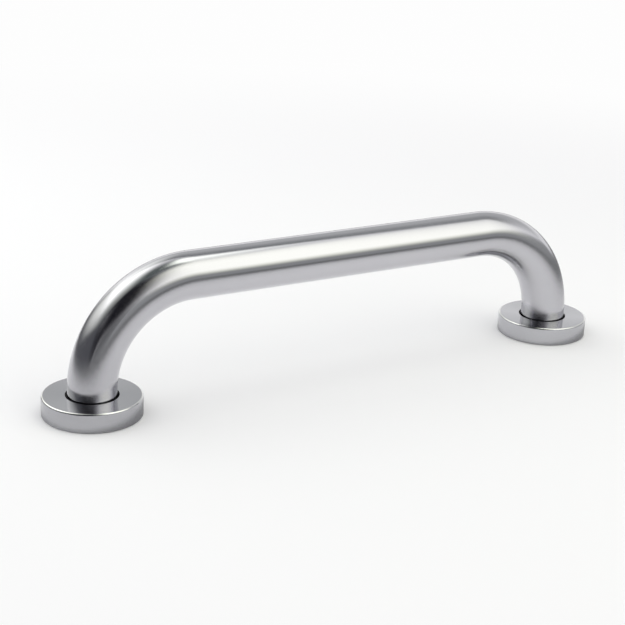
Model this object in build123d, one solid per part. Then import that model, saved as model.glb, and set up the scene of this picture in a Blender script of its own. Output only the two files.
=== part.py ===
from build123d import *
import os

# Stainless steel grab bar: one bent tube, a wall flange welded to each end,
# and a push-on cover that hides each flange and slides on the tube.
# Millimetres. The wall is the plane Z = 0, X runs along the bar, Z points into the room,
# and the origin lies on the wall midway between the two legs.

# Bar tube
tube_diameter = 32.0
tube_wall = 1.2
leg_spacing = 364.0  # between the centre lines of the two legs
leg_straight = 16.0  # from the wall to the start of the bend
bend_radius = 68.0  # to the centre line of the tube
tube_end_recess = 0.5  # the cut end stands back from the wall

# Push-on cover, drawn from sheet
cover_diameter = 65.0
cover_height = 13.0  # from the wall to the face of the cover
cover_sheet = 0.8
cover_bend_radius = 0.4  # inside of the drawn edge
cover_edge_break = 0.15  # rounding of the cut edges of the sheet
cover_wall_gap = 0.2  # the rim stops just short of the wall
cover_tube_clearance = 1.3  # between the tube and the hole in the cover

# Mounting flange, stamped from plate
flange_thickness = 3.0
flange_edge_break = 0.5
flange_cover_clearance = 0.15  # light push fit inside the cover
screw_hole_diameter = 5.5
screw_edge_break = 0.4
screw_count = 3
first_screw_angle = 90.0

# Weld between tube and flange
weld_leg = 2.5
weld_crown = 0.35  # how far the bead stands proud of a flat fillet
weld_gap = 0.05  # between the tube and what is fitted round it

# Sizes that follow from the ones above
tube_radius = tube_diameter / 2
leg_x = leg_spacing / 2
run_height = leg_straight + bend_radius
cover_radius = cover_diameter / 2
cover_bore_radius = cover_radius - cover_sheet
cover_hole_radius = tube_radius + cover_tube_clearance
flange_radius = cover_bore_radius - flange_cover_clearance
flange_hole_radius = tube_radius + weld_gap
weld_toe_radius = tube_radius + weld_leg
screw_circle_radius = (weld_toe_radius + flange_radius) / 2


def make_bar_tube():
    route = FilletPolyline(
        (-leg_x, 0, tube_end_recess),
        (-leg_x, 0, run_height),
        (leg_x, 0, run_height),
        (leg_x, 0, tube_end_recess),
        radius=bend_radius,
    )
    ring = Circle(tube_radius) - Circle(tube_radius - tube_wall)
    start = Plane(origin=route @ 0, z_dir=route % 0)
    return sweep(start * ring, path=route)


def make_mounting_flange():
    on_wall = (Align.CENTER, Align.CENTER, Align.MIN)
    disc = Cylinder(flange_radius, flange_thickness, align=on_wall)
    front_rim = disc.edges().filter_by(GeomType.CIRCLE).sort_by(Axis.Z)[-1]
    disc = fillet(front_rim, flange_edge_break)
    tube_hole = Cylinder(flange_hole_radius, flange_thickness, align=on_wall)
    screw_hole = Location((0, 0, flange_thickness)) * CounterSinkHole(
        screw_hole_diameter / 2,
        screw_hole_diameter / 2 + screw_edge_break,
        flange_thickness,
    )
    spots = PolarLocations(screw_circle_radius, screw_count, start_angle=first_screw_angle)
    return disc - tube_hole - [spot * screw_hole for spot in spots]


def make_weld_bead():
    # Section of the bead with the radius along X and the height along Y.
    toe = (weld_toe_radius, flange_thickness)
    root = (flange_hole_radius, flange_thickness)
    top = (flange_hole_radius, flange_thickness + weld_leg)
    outline = Polyline(top, root, toe) + SagittaArc(toe, top, -weld_crown)
    return revolve(Plane.XZ * make_face(outline), Axis.Z)


def make_flange_cover():
    # Section of the sheet with the radius along X and the height along Y.
    underside = cover_height - cover_sheet
    hole_top = (cover_hole_radius, cover_height)
    drawn_outside = (cover_radius, cover_height)
    rim_outside = (cover_radius, cover_wall_gap)
    rim_inside = (cover_bore_radius, cover_wall_gap)
    drawn_inside = (cover_bore_radius, underside)
    hole_under = (cover_hole_radius, underside)
    sheet = make_face(
        Polyline(
            hole_top, drawn_outside, rim_outside, rim_inside, drawn_inside, hole_under, close=True
        )
    )
    roundings = (
        (drawn_outside, cover_bend_radius + cover_sheet),
        (drawn_inside, cover_bend_radius),
        (hole_top, cover_edge_break),
        (hole_under, cover_edge_break),
        (rim_outside, cover_edge_break),
        (rim_inside, cover_edge_break),
    )
    for corner, radius in roundings:
        sheet = fillet(sheet.vertices().sort_by_distance(corner)[0], radius)
    return revolve(Plane.XZ * sheet, Axis.Z)


pieces = {"bar_tube": make_bar_tube()}
for side, x in (("left", -leg_x), ("right", leg_x)):
    foot = Location((x, 0, 0))
    pieces[f"{side}_mounting_flange"] = foot * make_mounting_flange()
    pieces[f"{side}_weld_bead"] = foot * make_weld_bead()
    pieces[f"{side}_flange_cover"] = foot * make_flange_cover()

os.makedirs("parts", exist_ok=True)
for name, piece in pieces.items():
    export_step(piece, f"parts/{name}.step")
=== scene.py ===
import math

import bpy
from mathutils import Matrix, Vector


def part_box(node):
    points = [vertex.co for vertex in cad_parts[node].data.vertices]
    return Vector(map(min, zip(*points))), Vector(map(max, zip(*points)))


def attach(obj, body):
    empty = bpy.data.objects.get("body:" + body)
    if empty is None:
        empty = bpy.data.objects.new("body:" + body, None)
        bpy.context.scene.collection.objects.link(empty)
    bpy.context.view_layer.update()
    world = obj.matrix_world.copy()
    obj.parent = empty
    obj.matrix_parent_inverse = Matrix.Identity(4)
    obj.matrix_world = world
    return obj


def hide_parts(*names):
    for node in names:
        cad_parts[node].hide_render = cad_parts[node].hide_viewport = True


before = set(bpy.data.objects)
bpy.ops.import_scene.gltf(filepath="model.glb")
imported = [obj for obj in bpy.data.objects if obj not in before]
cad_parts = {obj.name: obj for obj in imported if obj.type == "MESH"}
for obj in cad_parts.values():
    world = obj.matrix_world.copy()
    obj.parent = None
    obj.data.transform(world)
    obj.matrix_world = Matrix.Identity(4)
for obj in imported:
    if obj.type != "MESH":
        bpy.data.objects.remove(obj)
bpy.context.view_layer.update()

print("frame loaded:", ", ".join(sorted(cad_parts)))

sides = ("left", "right")
seamReach = 1e-6  # points closer than this are one
nearEnough = 1e-5  # slack when points are picked by their place
sharpFold = 1.2  # a fold steeper than this, in radians, is an edge to break


# hand moves
def clearSelection():
    if bpy.context.mode != "OBJECT":
        bpy.ops.object.mode_set(mode="OBJECT")
    bpy.ops.object.select_all(action="DESELECT")


def pickPiece(piece):
    clearSelection()
    piece.select_set(True)
    bpy.context.view_layer.objects.active = piece


# names the primitive just added, settles its place in its mesh and opens it with all of it picked
def startPiece(name):
    piece = bpy.context.object
    piece.name = name
    bpy.ops.object.transform_apply(location=True, rotation=True, scale=True)
    bpy.ops.object.mode_set(mode="EDIT")
    bpy.ops.mesh.select_mode(type="VERT")
    bpy.ops.mesh.select_all(action="SELECT")
    return piece


# extrudes the picked rim, then moves it and widens it about the Z axis
def pullRim(shift=(0, 0, 0), widen=1.0):
    bpy.ops.mesh.extrude_region_move(TRANSFORM_OT_translate={"value": shift})
    if widen != 1.0:
        bpy.ops.transform.resize(value=(widen, widen, 1), center_override=(0, 0, 0))


def pickPoints(piece, wanted, mode="VERT"):  # picks what lies where wanted says, and stays in edit mode
    bpy.ops.mesh.select_mode(type="VERT")
    bpy.ops.mesh.select_all(action="DESELECT")
    bpy.ops.object.mode_set(mode="OBJECT")
    for point in piece.data.vertices:
        point.select = wanted(point.co)
    bpy.ops.object.mode_set(mode="EDIT")
    bpy.ops.mesh.select_mode(type=mode)


def closePiece():  # welds the seams and turns the faces outwards
    bpy.ops.mesh.select_all(action="SELECT")
    bpy.ops.mesh.remove_doubles(threshold=seamReach)
    bpy.ops.mesh.normals_make_consistent(inside=False)
    bpy.ops.object.mode_set(mode="OBJECT")


def useModifier(piece, kind, **settings):
    bpy.context.view_layer.objects.active = piece
    bpy.ops.object.modifier_add(type=kind)
    modifier = piece.modifiers[-1]
    for name, value in settings.items():
        setattr(modifier, name, value)
    bpy.ops.object.modifier_apply(modifier=modifier.name)


def giveWall(piece, wall, edgeBreak):  # thickens the skin inwards and breaks the cut edges
    useModifier(piece, "SOLIDIFY", thickness=wall, offset=-1, use_even_offset=True)
    useModifier(piece, "BEVEL", width=edgeBreak, segments=2, limit_method="ANGLE", angle_limit=sharpFold)


def markPoints(piece, layerName, mark):  # stores a place or a way for each point, which the finishes read
    layer = piece.data.attributes.new(layerName, "FLOAT_VECTOR", "POINT")
    for point, slot in zip(piece.data.vertices, layer.data):
        slot.vector = mark(point)


# sets one copy at each foot in place of its CAD node, then removes the pattern
def setAtFeet(piece, pieceName, nodeName, bodyName):
    copies = []
    for side in sides:
        low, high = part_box(f"{side}_{nodeName}")
        pickPiece(piece)
        bpy.ops.object.duplicate()
        copy = bpy.context.object
        copy.name = f"{side}_{pieceName}"
        copy.location.x = (low.x + high.x) / 2
        bpy.ops.object.transform_apply(location=True, rotation=True, scale=True)
        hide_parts(f"{side}_{nodeName}")
        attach(copy, bodyName.format(side=side))
        copies.append(copy)
    bpy.data.objects.remove(piece)
    return copies


def halfWidth(low, high):
    return (high.y - low.y) / 2


# bar tube: one ring of points drawn up the leg, round the bend, along the run and down again
tube = {
    "sides": 128,
    "bendSteps": 64,
    "bendRadius": 0.068,
    "wall": 0.0012,
    "endBreak": 0.00012,
    "smoothTo": 0.7,
}
tubeLow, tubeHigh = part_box("bar_tube")
tubeRadius = halfWidth(tubeLow, tubeHigh)
legX = tubeHigh.x - tubeRadius
runZ = tubeHigh.z - tubeRadius
bendX = legX - tube["bendRadius"]  # where the straight run ends
bendZ = runZ - tube["bendRadius"]  # where the straight leg ends
bendLength = tube["bendRadius"] * math.pi / 2
halfLength = bendX + bendLength + bendZ - tubeLow.z  # from the middle of the run to the cut end


def modelTube():
    clearSelection()
    bpy.ops.mesh.primitive_circle_add(
        vertices=tube["sides"], radius=tubeRadius, location=(-legX, 0, tubeLow.z)
    )
    bar = startPiece("grab_bar_tube")
    bend = {"steps": tube["bendSteps"], "angle": math.pi / 2, "axis": (0, -1, 0)}
    pullRim((0, 0, bendZ - tubeLow.z))
    bpy.ops.mesh.spin(center=(-bendX, 0, bendZ), **bend)
    pullRim((2 * bendX, 0, 0))
    bpy.ops.mesh.spin(center=(bendX, 0, bendZ), **bend)
    pullRim((0, 0, tubeLow.z - bendZ))
    closePiece()
    giveWall(bar, tube["wall"], tube["endBreak"])
    bpy.ops.object.shade_smooth_by_angle(angle=tube["smoothTo"])
    markPoints(bar, "beforeBend", straightened)
    markPoints(bar, "alongTube", wayAlong)
    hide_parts("bar_tube")
    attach(bar, "bar")
    return bar


def intoBend(point):  # how far a point lies past the run and above the leg, both zero or more
    return max(abs(point.co.x) - bendX, 0), max(point.co.z - bendZ, 0)


# where a point lay before the tube was bent: along the tube, across it, out from the bend
def straightened(point):
    past, above = intoBend(point)
    along = min(abs(point.co.x), bendX) + tube["bendRadius"] * math.atan2(past, above)
    along += max(bendZ - point.co.z, 0)
    return math.copysign(along, point.co.x), point.co.y, math.hypot(past, above) - tube["bendRadius"]


def wayAlong(point):
    turned = math.atan2(*intoBend(point))
    return math.cos(turned), 0, -math.copysign(math.sin(turned), point.co.x)


# push-on cover: a drawn cup of sheet with a hole for the tube
cover = {
    "sides": 128,
    "holeRadius": 0.0173,
    "sheet": 0.0008,
    "drawRadius": 0.0012,
    "drawSteps": 8,
    "edgeBreak": 0.00015,
    "smoothTo": 0.7,
}
coverLow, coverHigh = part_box("left_flange_cover")
coverRadius = halfWidth(coverLow, coverHigh)


def modelCover():
    clearSelection()
    bpy.ops.mesh.primitive_circle_add(
        vertices=cover["sides"], radius=cover["holeRadius"], location=(0, 0, coverHigh.z)
    )
    cup = startPiece("cover_pattern")
    pullRim(widen=coverRadius / cover["holeRadius"])
    pullRim((0, 0, coverLow.z - coverHigh.z))
    pickPoints(cup, onDrawnEdge, "EDGE")
    bpy.ops.mesh.bevel(offset=cover["drawRadius"], segments=cover["drawSteps"], profile=0.5, affect="EDGES")
    closePiece()
    giveWall(cup, cover["sheet"], cover["edgeBreak"])
    bpy.ops.object.shade_smooth_by_angle(angle=cover["smoothTo"])
    useModifier(cup, "WEIGHTED_NORMAL", keep_sharp=True)
    markPoints(cup, "fromLeg", lambda point: point.co)
    markPoints(cup, "acrossRings", wayAcross)
    return setAtFeet(cup, "push_on_cover", "flange_cover", "{side}_cover")


def onDrawnEdge(co):  # where the face meets the side
    return co.z > coverHigh.z - nearEnough and co.xy.length > coverRadius - nearEnough


def wayAcross(point):  # square to the turned rings: out over the face and down the side
    ringWay = Vector((-point.co.y, point.co.x, 0)).normalized()
    return ringWay.cross(point.normal)


# wall flange: a stamped plate, drilled for the tube and for three screws
flange = {
    "sides": 128,
    "rimRound": 0.0005,
    "rimSteps": 4,
    "tubeGap": 0.00005,
    "screwRadius": 0.00275,
    "screwSides": 32,
    "screwBreak": 0.0004,
    "screwCount": 3,
    "drillLength": 0.05,
    "smoothTo": 0.6,
}
flangeLow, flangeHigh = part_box("left_mounting_flange")
weldLow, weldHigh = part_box("left_weld_bead")
flangeRadius = halfWidth(flangeLow, flangeHigh)
flangeMiddle = (flangeHigh.z + flangeLow.z) / 2
weldToe = halfWidth(weldLow, weldHigh)


def modelFlange():
    clearSelection()
    bpy.ops.mesh.primitive_cylinder_add(
        vertices=flange["sides"],
        radius=flangeRadius,
        depth=flangeHigh.z - flangeLow.z,
        location=(0, 0, flangeMiddle),
    )
    plate = startPiece("flange_pattern")
    pickPoints(plate, lambda co: co.z > flangeMiddle, "EDGE")
    bpy.ops.mesh.bevel(offset=flange["rimRound"], segments=flange["rimSteps"], profile=0.5, affect="EDGES")
    closePiece()
    drill(plate, (0, 0), tubeRadius + flange["tubeGap"], flange["sides"])
    spots = screwSpots()
    for spot in spots:
        drill(plate, spot, flange["screwRadius"], flange["screwSides"])
    pickPiece(plate)
    bpy.ops.object.mode_set(mode="EDIT")
    pickPoints(plate, lambda co: onMouth(co, spots), "EDGE")
    bpy.ops.mesh.bevel(offset=flange["screwBreak"], segments=1, affect="EDGES")
    closePiece()
    bpy.ops.object.shade_smooth_by_angle(angle=flange["smoothTo"])
    markPoints(plate, "fromLeg", lambda point: point.co)
    return setAtFeet(plate, "wall_flange", "mounting_flange", "bar")


def screwSpots():  # evenly round the leg, midway between the weld and the rim
    circle = (flangeRadius + weldToe) / 2
    spots = []
    for screw in range(flange["screwCount"]):
        angle = math.pi / 2 + screw * 2 * math.pi / flange["screwCount"]
        spots.append(Vector((math.cos(angle), math.sin(angle))) * circle)
    return spots


def drill(plate, spot, radius, facets):
    clearSelection()
    bpy.ops.mesh.primitive_cylinder_add(
        vertices=facets, radius=radius, depth=flange["drillLength"], location=(*spot, flangeMiddle)
    )
    bit = bpy.context.object
    useModifier(plate, "BOOLEAN", object=bit, operation="DIFFERENCE", solver="EXACT")
    bpy.data.objects.remove(bit)


def onMouth(co, spots):  # where a screw hole opens on the side away from the wall
    nearest = min((co.xy - spot).length for spot in spots)
    return co.z > flangeHigh.z - nearEnough and nearest < flange["screwRadius"] + nearEnough


# weld bead: a fillet run round the tube, with the ripples of the torch
weld = {
    "ripples": 46,
    "stepsPerRipple": 6,
    "faceCuts": 5,
    "crown": 0.00035,
    "rippleDepth": 0.00016,
    "rippleBow": 0.35,  # in ripples, between a ripple's ends and its middle
    "smoothTo": 0.9,
}
weldLeg = weldHigh.z - weldLow.z
weldRoot = weldToe - weldLeg


def modelWeld():
    clearSelection()
    bpy.ops.mesh.primitive_circle_add(vertices=3, radius=weldLeg)
    bead = startPiece("weld_pattern")
    bpy.ops.object.mode_set(mode="OBJECT")
    corners = ((weldRoot, 0, weldHigh.z), (weldRoot, 0, weldLow.z), (weldToe, 0, weldLow.z))
    for point, corner in zip(bead.data.vertices, corners):  # the section: top, root and toe
        point.co = corner
    bpy.ops.object.mode_set(mode="EDIT")
    pickPoints(bead, onFlatFace, "EDGE")
    bpy.ops.mesh.subdivide(number_cuts=weld["faceCuts"])
    bpy.ops.object.mode_set(mode="OBJECT")
    for point in bead.data.vertices:
        if onFlatFace(point.co):
            share = 2 * (point.co.x - weldRoot) / weldLeg - 1
            swell = weld["crown"] * (1 - share * share)
            point.co += Vector((1, 0, 1)).normalized() * swell
    bpy.ops.object.mode_set(mode="EDIT")
    bpy.ops.mesh.select_all(action="SELECT")
    turns = weld["ripples"] * weld["stepsPerRipple"]
    bpy.ops.mesh.spin(steps=turns, angle=2 * math.pi, center=(0, 0, 0), axis=(0, 0, 1))
    closePiece()
    rippleFace(bead)
    bpy.ops.object.shade_smooth_by_angle(angle=weld["smoothTo"])
    markPoints(bead, "fromLeg", lambda point: point.co)
    return setAtFeet(bead, "weld_run", "weld_bead", "bar")


def pastFlatFace(reach, height):  # zero on the straight line from top to toe, more outside it
    return reach - weldRoot + height - weldLow.z - weldLeg


def onFlatFace(co):
    return abs(pastFlatFace(co.x, co.z)) < seamReach


def rippleFace(bead):  # each ripple rises slowly and drops off at its front edge
    pitch = 2 * math.pi / weld["ripples"]
    for point in bead.data.vertices:
        reach = point.co.xy.length
        betweenEnds = weldLow.z + nearEnough < point.co.z < weldHigh.z - nearEnough
        if betweenEnds and pastFlatFace(reach, point.co.z) > -nearEnough:
            bow = weld["rippleBow"] * math.sin(math.pi * (reach - weldRoot) / weldLeg)
            phase = (math.atan2(point.co.y, point.co.x) / pitch + bow) % 1
            sink = weld["rippleDepth"] * (1 - phase)
            inward = Vector((-point.co.x / reach, -point.co.y / reach, -1)).normalized()
            point.co += inward * sink


barTube = modelTube()
covers = modelCover()
flanges = modelFlange()
welds = modelWeld()
print("pieces modelled")

# finishes
noiseSpan = (0.25, 0.75)  # nearly all of a noise lies between these


def addNode(tree, kind, inputs=None, **settings):  # a node with its settings, values and links in one go
    node = tree.nodes.new("ShaderNode" + kind)
    for name, value in settings.items():
        setattr(node, name, value)
    for name, value in (inputs or {}).items():
        if isinstance(value, bpy.types.NodeSocket):
            tree.links.new(value, node.inputs[name])
        else:
            node.inputs[name].default_value = value
    return node


def startFinish(name, tint):
    material = bpy.data.materials.new(name)
    material.use_nodes = True
    shader = material.node_tree.nodes["Principled BSDF"]
    shader.inputs["Base Color"].default_value = (*tint, 1)
    shader.inputs["Metallic"].default_value = 1
    return material, material.node_tree, shader


def remap(tree, value, low, high, toLow, toHigh, smooth=False):
    ends = {"Value": value, "From Min": low, "From Max": high, "To Min": toLow, "To Max": toHigh}
    kind = "SMOOTHSTEP" if smooth else "LINEAR"
    return addNode(tree, "MapRange", ends, interpolation_type=kind).outputs["Result"]


def join(tree, operation, first, second):
    return addNode(tree, "Math", {0: first, 1: second}, operation=operation).outputs[0]


def blend(tree, value, stops):  # colours along a value, each with its place from 0 to 1
    node = addNode(tree, "ValToRGB", {"Fac": value})
    band = node.color_ramp.elements
    band[0].position = stops[0][0]
    band[1].position = stops[-1][0]
    for stop in stops[1:-1]:
        band.new(stop[0])
    for element, stop in zip(band, stops):
        element.color = (*stop[1], 1)
    return node.outputs["Color"]


def readMark(tree, layerName):
    return addNode(tree, "Attribute", attribute_name=layerName).outputs["Vector"]


def split(tree, place):
    return addNode(tree, "SeparateXYZ", {"Vector": place}).outputs


def lengthOf(tree, place):
    return addNode(tree, "VectorMath", {0: place}, operation="LENGTH").outputs["Value"]


def fromAxis(tree, parts):  # how far a place is from the leg's centre line
    return lengthOf(tree, addNode(tree, "CombineXYZ", {"X": parts["X"], "Y": parts["Y"]}).outputs[0])


def speckle(tree, place, scale, detail=2):  # noise, which may be drawn out by a scale for each axis
    stretched = addNode(tree, "Mapping", {"Vector": place, "Scale": scale}).outputs[0]
    return addNode(tree, "TexNoise", {"Vector": stretched, "Scale": 1, "Detail": detail}).outputs["Fac"]


def swing(tree, noise, reach):  # the same noise about zero
    return remap(tree, noise, *noiseSpan, -reach, reach)


def roughen(tree, shader, middle, *layers):  # each layer is a noise and how far it swings the roughness
    total = middle
    for noise, reach in layers:
        total = join(tree, "ADD", total, swing(tree, noise, reach))
    tree.links.new(total, shader.inputs["Roughness"])


def emboss(tree, shader, *layers):  # each layer is a height and its depth in metres
    skin = None
    for height, depth in layers:
        bump = addNode(tree, "Bump", {"Height": height, "Strength": 1, "Distance": depth})
        if skin:
            tree.links.new(skin, bump.inputs["Normal"])
        skin = bump.outputs["Normal"]
    tree.links.new(skin, shader.inputs["Normal"])


def drawOut(tree, shader, layerName, amount):  # reflections blur along the marked way
    shader.inputs["Anisotropic"].default_value = amount
    tree.links.new(readMark(tree, layerName), shader.inputs["Tangent"])


# heat colours that a weld leaves on stainless steel, from the bead outwards
heatColours = {
    "scale": (0.26, 0.26, 0.28),
    "blue": (0.2, 0.24, 0.38),
    "purple": (0.34, 0.22, 0.26),
    "straw": (0.5, 0.4, 0.24),
}


def heatTint(tree, value, places, plain):  # the heat colours at their places, then the plain metal
    return blend(tree, value, list(zip(places, (*heatColours.values(), plain))))


tubeFinish = {
    "tint": (0.585, 0.58, 0.612),
    "lineScale": (3000, 55, 55),  # fine polishing lines round the tube
    "lineDepth": 0.0000012,
    "drawScale": (9, 150, 150),  # slight unevenness of the drawn tube, long and narrow
    "drawDepth": 0.00002,
    "cloudScale": (22, 22, 22),
    "roughness": 0.134,
    "lineSwing": 0.025,
    "cloudSwing": 0.015,
    "drawnOut": 0.88,
    "heatReach": 0.0105,  # from the cut end, so it stays under the cover
    "heatPlaces": (0.42, 0.54, 0.66, 0.8, 1),
}


def finishTube():
    material, tree, shader = startFinish("polishedTube", tubeFinish["tint"])
    place = readMark(tree, "beforeBend")
    lines = speckle(tree, place, tubeFinish["lineScale"], 3)
    clouds = speckle(tree, place, tubeFinish["cloudScale"], 4)
    roughen(
        tree, shader, tubeFinish["roughness"],
        (lines, tubeFinish["lineSwing"]), (clouds, tubeFinish["cloudSwing"]),
    )
    drawn = speckle(tree, place, tubeFinish["drawScale"], 2)
    emboss(tree, shader, (drawn, tubeFinish["drawDepth"]), (lines, tubeFinish["lineDepth"]))
    drawOut(tree, shader, "alongTube", tubeFinish["drawnOut"])
    fromMiddle = join(tree, "ABSOLUTE", split(tree, place)["X"], 0)
    fromEnd = remap(tree, fromMiddle, halfLength, halfLength - tubeFinish["heatReach"], 0, 1)
    colour = heatTint(tree, fromEnd, tubeFinish["heatPlaces"], tubeFinish["tint"])
    tree.links.new(colour, shader.inputs["Base Color"])
    return material


coverFinish = {
    "tint": (0.53, 0.53, 0.556),
    "ringScale": (4200, 4200, 60),  # turned rings on the face, fine lines round the side
    "ringDrift": 0.1,  # lets the rings break up on their way round
    "lineDepth": 0.0000012,
    "cloudScale": (35, 35, 35),
    "roughness": 0.134,
    "lineSwing": 0.025,
    "cloudSwing": 0.015,
    "drawnOut": 0.88,
    "rimHighlightTint": (0.8, 0.8, 0.79),  # painted highlight: the drawn edge gets a lighter base colour than the rest
    "rimHighlightDepth": 0.0006,
    "rimHighlightBlend": 0.0003,
}


def finishCover():
    material, tree, shader = startFinish("satinCover", coverFinish["tint"])
    place = readMark(tree, "fromLeg")
    parts = split(tree, place)
    reach = fromAxis(tree, parts)
    clouds = speckle(tree, place, coverFinish["cloudScale"], 4)
    drift = join(tree, "MULTIPLY", clouds, coverFinish["ringDrift"])
    rings = addNode(tree, "CombineXYZ", {"X": reach, "Y": parts["Z"], "Z": drift}).outputs[0]
    lines = speckle(tree, rings, coverFinish["ringScale"])
    roughen(
        tree, shader, coverFinish["roughness"],
        (lines, coverFinish["lineSwing"]), (clouds, coverFinish["cloudSwing"]),
    )
    emboss(tree, shader, (lines, coverFinish["lineDepth"]))
    drawOut(tree, shader, "acrossRings", coverFinish["drawnOut"])
    # painted highlight: a lighter base colour along the top of the drawn edge
    soft = coverFinish["rimHighlightBlend"]
    rim = coverRadius - cover["drawRadius"]
    outwards = remap(tree, reach, rim - soft, rim + soft, 0, 1, smooth=True)
    rimLow = coverHigh.z - coverFinish["rimHighlightDepth"]
    upwards = remap(tree, parts["Z"], rimLow, rimLow + soft, 0, 1, smooth=True)
    paintedRimHighlight = join(tree, "MULTIPLY", outwards, upwards)
    colour = blend(tree, paintedRimHighlight, ((0, coverFinish["tint"]), (1, coverFinish["rimHighlightTint"])))
    tree.links.new(colour, shader.inputs["Base Color"])
    return material


plateFinish = {
    "tint": (0.44, 0.44, 0.445),
    "grainScale": (60, 2600, 2600),  # rolling grain of the sheet
    "grainDepth": 0.0000025,
    "patchScale": (90, 90, 90),
    "roughness": 0.34,
    "grainSwing": 0.07,
    "patchSwing": 0.05,
    "heatFrom": 0.0183,  # just inside the toe of the weld
    "heatReach": 0.0055,
    "heatSwing": 0.12,
    "heatPlaces": (0.02, 0.16, 0.36, 0.6, 0.95),
}


def finishPlate():
    material, tree, shader = startFinish("flangePlate", plateFinish["tint"])
    place = readMark(tree, "fromLeg")
    grain = speckle(tree, place, plateFinish["grainScale"], 3)
    patches = speckle(tree, place, plateFinish["patchScale"], 4)
    roughen(
        tree, shader, plateFinish["roughness"],
        (grain, plateFinish["grainSwing"]), (patches, plateFinish["patchSwing"]),
    )
    emboss(tree, shader, (grain, plateFinish["grainDepth"]))
    reach = fromAxis(tree, split(tree, place))
    start = plateFinish["heatFrom"]
    spread = remap(tree, reach, start, start + plateFinish["heatReach"], 0, 1)
    uneven = join(tree, "ADD", spread, swing(tree, patches, plateFinish["heatSwing"]))
    colour = heatTint(tree, uneven, plateFinish["heatPlaces"], plateFinish["tint"])
    tree.links.new(colour, shader.inputs["Base Color"])
    return material


weldFinish = {
    "tint": (0.5, 0.46, 0.4),
    "crease": (0.3, 0.27, 0.26),
    "strawAt": 0.25,  # along each ripple, from its crease
    "tintAt": 0.6,
    "creaseSwing": 0.15,
    "speckleScale": (1500, 1500, 1500),
    "speckleDepth": 0.00002,
    "roughness": 0.32,
    "speckleSwing": 0.1,
}


def finishWeld():
    material, tree, shader = startFinish("weldMetal", weldFinish["tint"])
    place = readMark(tree, "fromLeg")
    parts = split(tree, place)
    grit = speckle(tree, place, weldFinish["speckleScale"], 4)
    roughen(tree, shader, weldFinish["roughness"], (grit, weldFinish["speckleSwing"]))
    emboss(tree, shader, (grit, weldFinish["speckleDepth"]))
    around = join(tree, "ARCTAN2", parts["Y"], parts["X"])
    turns = join(tree, "MULTIPLY", around, weld["ripples"] / (2 * math.pi))
    uneven = join(tree, "ADD", turns, swing(tree, grit, weldFinish["creaseSwing"]))
    stops = (
        (0, weldFinish["crease"]),
        (weldFinish["strawAt"], heatColours["straw"]),
        (weldFinish["tintAt"], weldFinish["tint"]),
        (1, heatColours["purple"]),
    )
    colour = blend(tree, join(tree, "FRACT", uneven, 0), stops)
    tree.links.new(colour, shader.inputs["Base Color"])
    return material


for pieces, finish in (
    ([barTube], finishTube()),
    (covers, finishCover()),
    (flanges, finishPlate()),
    (welds, finishWeld()),
):
    for piece in pieces:
        piece.data.materials.clear()
        piece.data.materials.append(finish)
print("finishes made")


# studio
def startPaint(name):  # a material with nothing in it yet but its output
    material, tree, shader = startFinish(name, (0, 0, 0))
    tree.nodes.remove(shader)
    return material, tree


def mixOut(tree, share, first, second, outputName="Material Output"):  # two shaders, mixed by a share
    mix = addNode(tree, "MixShader", {"Fac": share, 1: first, 2: second})
    tree.links.new(mix.outputs[0], tree.nodes[outputName].inputs["Surface"])


# floor: lit near the bar, so that it keeps the shadow, and plain white further away
floor = {
    "size": 14.0,
    "drop": 0.0002,
    "colour": (0.95, 0.95, 0.95, 1),
    "litReach": 0.35,
    "whiteReach": 1.1,
    "white": 0.985,
}


def layFloor():
    clearSelection()
    bpy.ops.mesh.primitive_plane_add(size=floor["size"], location=(0, 0, -floor["drop"]))
    plane = bpy.context.object
    plane.name = "studio_floor"
    material, tree = startPaint("paleFloor")
    reach = lengthOf(tree, addNode(tree, "TexCoord").outputs["Object"])
    far = remap(tree, reach, floor["litReach"], floor["whiteReach"], 0, 1, smooth=True)
    paper = addNode(tree, "BsdfDiffuse", {"Color": floor["colour"]}).outputs[0]
    glow = addNode(tree, "Emission", {"Strength": floor["white"]}).outputs[0]
    mixOut(tree, far, paper, glow)
    plane.data.materials.append(material)


layFloor()

# softboxes: area lamps whose light fades out towards their edges
softboxes = {
    "frontSoftbox": {
        "at": (0.53, -0.78, 0.96),
        "azimuth": 145.5,
        "elevation": 43.5,
        "roll": -4,
        "size": (2.3, 2),
        "fade": (0.9, 0.48),
        "level": 0.72,
        "tint": (0.98, 1, 0.79),
    },
    "backSoftbox": {
        "at": (-0.66, 0.75, 0.89),
        "azimuth": 318.5,
        "elevation": 40,
        "roll": -72,
        "size": (1.93, 3.19),
        "fade": (0.69, 0.99),
        "level": 1.03,
        "tint": (0.98, 1, 0.92),
    },
    "topSoftbox": {
        "at": (0.29, 0.11, 1.43),
        "azimuth": 69,
        "elevation": 77.5,
        "roll": 47,
        "size": (0.68, 0.76),
        "fade": (0.72, 0.72),
        "level": 1.82,
        "tint": (0.96, 1, 0.88),
    },
}


def facing(azimuth, elevation, roll=0):  # turns a plane towards the bar; azimuth 0 is +Y, 90 is +X
    turn = Matrix.Rotation(math.radians(-azimuth), 3, "Z")
    tilt = Matrix.Rotation(math.radians(90 + elevation), 3, "X")
    return (turn @ tilt @ Matrix.Rotation(math.radians(roll), 3, "Z")).to_euler()


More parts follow.
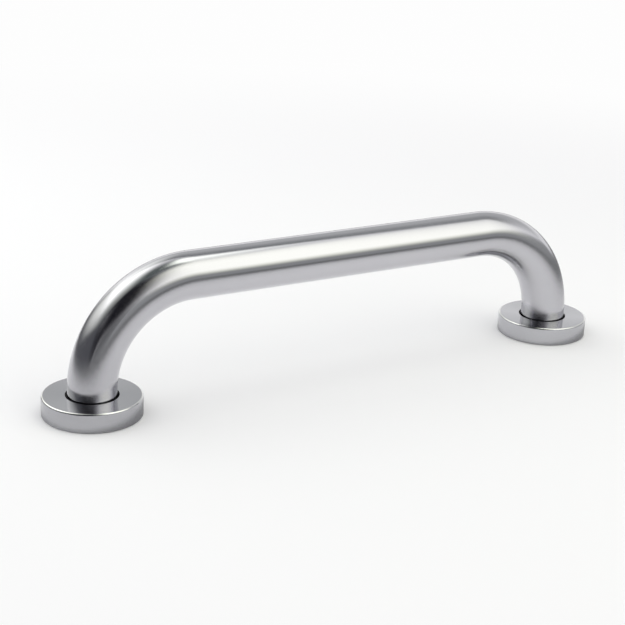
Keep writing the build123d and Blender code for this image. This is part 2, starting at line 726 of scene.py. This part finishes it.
def hangSoftbox(name, box):
    lamp = bpy.data.lights.new(name, "AREA")
    lamp.shape = "RECTANGLE"
    lamp.size, lamp.size_y = box["size"]
    lamp.energy = box["level"] * math.pi * lamp.size * lamp.size_y
    lamp.color = box["tint"]
    lamp.use_nodes = True
    tree = lamp.node_tree
    parts = split(tree, addNode(tree, "NewGeometry").outputs["Parametric"])  # 0 to 1 across the lamp
    levels = []
    for axis, fade in zip("XY", box["fade"]):
        fromMiddle = join(tree, "ABSOLUTE", join(tree, "SUBTRACT", parts[axis], 0.5), 0)
        levels.append(remap(tree, fromMiddle, 0.5, 0.5 - fade / 2, 0, 1, smooth=True))
    tree.links.new(join(tree, "MULTIPLY", *levels), tree.nodes["Emission"].inputs["Strength"])
    holder = bpy.data.objects.new(name, lamp)
    bpy.context.scene.collection.objects.link(holder)
    holder.location = box["at"]
    holder.rotation_euler = facing(box["azimuth"], box["elevation"] + 180, box["roll"])
    holder.visible_camera = False


for name, box in softboxes.items():
    hangSoftbox(name, box)

# flags: dark and gray sheets that only the polished metal sees, soft at the edges
flags = {
    "dark_curtain": {
        "at": (-0.98, -0.94, 1.08),
        "azimuth": 226.5,
        "elevation": 37,
        "roll": -18.5,
        "size": (3.63, 4),
        "fade": (1.52, 1.59, 1.73, 1.39),  # left, right, low and top edge, seen from the bar
        "shade": (0.012, 0.012, 0.016),
    },
    "front_wall": {
        "at": (0.71, -1.66, 0.04),
        "azimuth": 157,
        "size": (12, 2.08),
        "fade": (1.18, 1.18, 1.18, 0.62),
        "shade": (0.35, 0.36, 0.36),
    },
    "left_wall": {
        "at": (-1.39, 0.56, 0.22),
        "azimuth": 291.5,
        "size": (6, 2.43),
        "fade": (0.66, 0.66, 0.66, 0.66),
        "shade": (0.103, 0.105, 0.115),
    },
    "ceiling": {
        "at": (-1.94, 0.02, 1.9),
        "elevation": 90,
        "size": (6.12, 2.31),
        "fade": (1.06, 1.06, 1.06, 1.06),
        "shade": (0.1, 0.118, 0.118),
    },
    "back_gray": {
        "at": (1.07, 1.1, 1.34),
        "azimuth": 44,
        "elevation": 40,
        "roll": -5.5,
        "size": (6, 1.72),
        "fade": (2.25, 2.25, 0.14, 0.12),
        "shade": (0.57, 0.582, 0.58),
        "topShade": (0.14, 0.15, 0.154),
        "evenTo": 0.5,  # the share of its height that keeps the first shade
    },
}


def hangFlag(name, flag):
    turned = facing(flag.get("azimuth", 0), flag.get("elevation", 0), flag.get("roll", 0))
    sheet, tree, place = cutSheet(name, flag["at"], turned, flag["size"])
    parts = split(tree, place)
    width, height = flag["size"]
    left, right, low, top = flag["fade"]
    edges = (
        ("X", -width / 2, left),
        ("X", width / 2, -right),
        ("Y", -height / 2, low),
        ("Y", height / 2, -top),
    )
    solid = 1
    for axis, edge, fade in edges:
        inside = remap(tree, parts[axis], edge, edge + fade, 0, 1, smooth=True)
        solid = join(tree, "MULTIPLY", solid, inside)
    upwards = remap(tree, parts["Y"], -height / 2, height / 2, 0, 1)
    stops = ((flag.get("evenTo", 0), flag["shade"]), (1, flag.get("topShade", flag["shade"])))
    paintSheet(sheet, tree, solid, blend(tree, upwards, stops))


def cutSheet(name, at, turned, size):
    clearSelection()
    bpy.ops.mesh.primitive_plane_add(size=1, location=at, rotation=turned)
    sheet = bpy.context.object
    sheet.name = name
    sheet.scale = (*size, 1)
    bpy.ops.object.transform_apply(location=False, rotation=False, scale=True)
    material, tree = startPaint(name)
    sheet.data.materials.append(material)
    return sheet, tree, addNode(tree, "TexCoord").outputs["Object"]


def paintSheet(sheet, tree, solid, shade):  # clear where solid is 0 and shaded where it is 1
    clear = addNode(tree, "BsdfTransparent").outputs[0]
    mixOut(tree, solid, clear, addNode(tree, "Emission", {"Color": shade}).outputs[0])
    sheet.visible_camera = False
    sheet.visible_diffuse = False
    sheet.visible_shadow = False
    sheet.visible_transmission = False


for name, flag in flags.items():
    hangFlag(name, flag)

# table: a painted pool of light; outside it a sheet that only the metal sees paints the table top darker
table = {
    "middle": (-0.005, 0.05, 0.001),
    "turn": 54,
    "pool": (0.261, 0.437),
    "softness": 0.68,
    "size": (8, 8),
    "shade": (0.236, 0.24, 0.24, 1),
}


def paintLightPool():
    turned = (0, 0, math.radians(table["turn"]))
    sheet, tree, place = cutSheet("painted_light_pool", table["middle"], turned, table["size"])
    squeeze = (1 / table["pool"][0], 1 / table["pool"][1], 0)
    reach = lengthOf(tree, addNode(tree, "Mapping", {"Vector": place, "Scale": squeeze}).outputs[0])
    soft = table["softness"]
    # painted shade: the sheet darkens the table outside the pool of light
    outside = remap(tree, reach, 1 - soft, 1 + soft, 0, 1, smooth=True)
    paintSheet(sheet, tree, outside, table["shade"])


paintLightPool()

# foot shade: a painted contact shadow round each cover, on a sheet that only the metal sees, which shows
# low on the cover's side
footShade = {
    "reach": 0.013,
    "depth": 0.5,
    "shift": 0.006,  # it falls a little to the right
    "shade": (0.02, 0.02, 0.024, 1),
    "height": 0.0003,
    "size": (1, 1),
}


def shadeFeet():
    at = (0, 0, footShade["height"])
    sheet, tree, place = cutSheet("foot_shade", at, (0, 0, 0), footShade["size"])
    edge = coverRadius + footShade["reach"]
    # painted shadow: darkest at each cover's edge, gone at its reach
    dark = 0
    for foot in (-legX, legX):
        ends = {0: place, 1: (foot + footShade["shift"], 0, 0)}
        fromFoot = addNode(tree, "VectorMath", ends, operation="DISTANCE").outputs["Value"]
        near = remap(tree, fromFoot, edge, coverRadius, 0, footShade["depth"], smooth=True)
        dark = join(tree, "MAXIMUM", dark, near)
    paintSheet(sheet, tree, dark, footShade["shade"])


shadeFeet()

# room: white where it is seen or mirrored, and a softer fill light
room = {"white": (1, 1, 1, 1), "fill": (0.695, 0.69, 0.73, 1)}


def paintRoom():
    world = bpy.data.worlds.new("paleRoom")
    bpy.context.scene.world = world
    world.use_nodes = True
    tree = world.node_tree
    path = addNode(tree, "LightPath").outputs
    seen = join(tree, "MAXIMUM", path["Is Camera Ray"], path["Is Glossy Ray"])
    seen = join(tree, "MAXIMUM", seen, path["Is Transmission Ray"])
    fill = tree.nodes["Background"]
    fill.inputs["Color"].default_value = room["fill"]
    white = addNode(tree, "Background", {"Color": room["white"]})
    mixOut(tree, seen, fill.outputs[0], white.outputs[0], "World Output")


paintRoom()
print("studio lit")

# camera
lens = {
    "place": (-0.5262, -0.8262, 0.396),
    "turn": -31.46,
    "tilt": 19.96,
    "roll": 2.57,
    "length": 87.12,
    "sensor": 36,
}


def setCamera():
    data = bpy.data.cameras.new("photoCamera")
    data.lens = lens["length"]
    data.sensor_width = lens["sensor"]
    camera = bpy.data.objects.new("photoCamera", data)
    bpy.context.scene.collection.objects.link(camera)
    turn = Matrix.Rotation(math.radians(lens["turn"]), 4, "Z")
    tilt = Matrix.Rotation(math.radians(90 - lens["tilt"]), 4, "X")
    roll = Matrix.Rotation(math.radians(lens["roll"]), 4, "Z")
    camera.matrix_world = Matrix.Translation(lens["place"]) @ turn @ tilt @ roll
    bpy.context.scene.camera = camera


setCamera()
bpy.context.scene.view_settings.view_transform = "Standard"
print("camera set")
